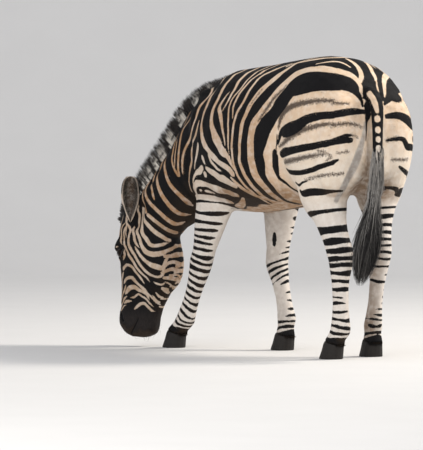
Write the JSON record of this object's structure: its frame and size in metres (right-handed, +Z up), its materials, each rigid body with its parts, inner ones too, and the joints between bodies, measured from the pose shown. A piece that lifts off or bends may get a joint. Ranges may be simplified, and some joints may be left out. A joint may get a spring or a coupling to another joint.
{
  "type": "grazing zebra",
  "caption": "Life-size still model of an adult plains zebra, grazing with its head at the ground and its legs mid-stride.",
  "frame": {"origin": "on the floor, under the middle of the whole model's bounding box", "axes": "+Z up; the body faces -X, and the animal's left side is towards -Y"},
  "size_m": [1.577, 0.5916, 1.248],
  "materials": {
    "trunk_coat": "short cream and black striped coat",
    "neck_dark_coat": "short coat, mostly black stripes",
    "head_dark_coat": "very short coat, fine black stripes, black muzzle",
    "mane_mane_hair": "stiff standing hair",
    "ear_left_ear_skin": "thin furred skin",
    "ear_right_ear_skin": "thin furred skin",
    "eye_left_eye_gloss": "wet gloss",
    "eye_right_eye_gloss": "wet gloss",
    "tail_coat": "short striped coat",
    "tail_tuft_tail_hair": "long coarse hair",
    "foreleg_left_coat": "short striped coat",
    "foreleg_right_coat": "short striped coat",
    "hindleg_left_coat": "short striped coat",
    "hindleg_right_coat": "short striped coat",
    "hoof_fore_left_hoof_horn": "dull dark horn",
    "hoof_fore_right_hoof_horn": "dull dark horn",
    "hoof_hind_left_hoof_horn": "dull dark horn",
    "hoof_hind_right_hoof_horn": "dull dark horn"
  },
  "bodies": {
    "root": {"trunk": "trunk_coat", "neck": "neck_dark_coat", "head": "head_dark_coat", "mane": "mane_mane_hair", "ear_left": "ear_left_ear_skin", "ear_right": "ear_right_ear_skin", "eye_left": "eye_left_eye_gloss", "eye_right": "eye_right_eye_gloss", "tail": "tail_coat", "tail_tuft": "tail_tuft_tail_hair", "foreleg_left": "foreleg_left_coat", "foreleg_right": "foreleg_right_coat", "hindleg_left": "hindleg_left_coat", "hindleg_right": "hindleg_right_coat", "hoof_fore_left": "hoof_fore_left_hoof_horn", "hoof_fore_right": "hoof_fore_right_hoof_horn", "hoof_hind_left": "hoof_hind_left_hoof_horn", "hoof_hind_right": "hoof_hind_right_hoof_horn"}
  },
  "joints": []
}
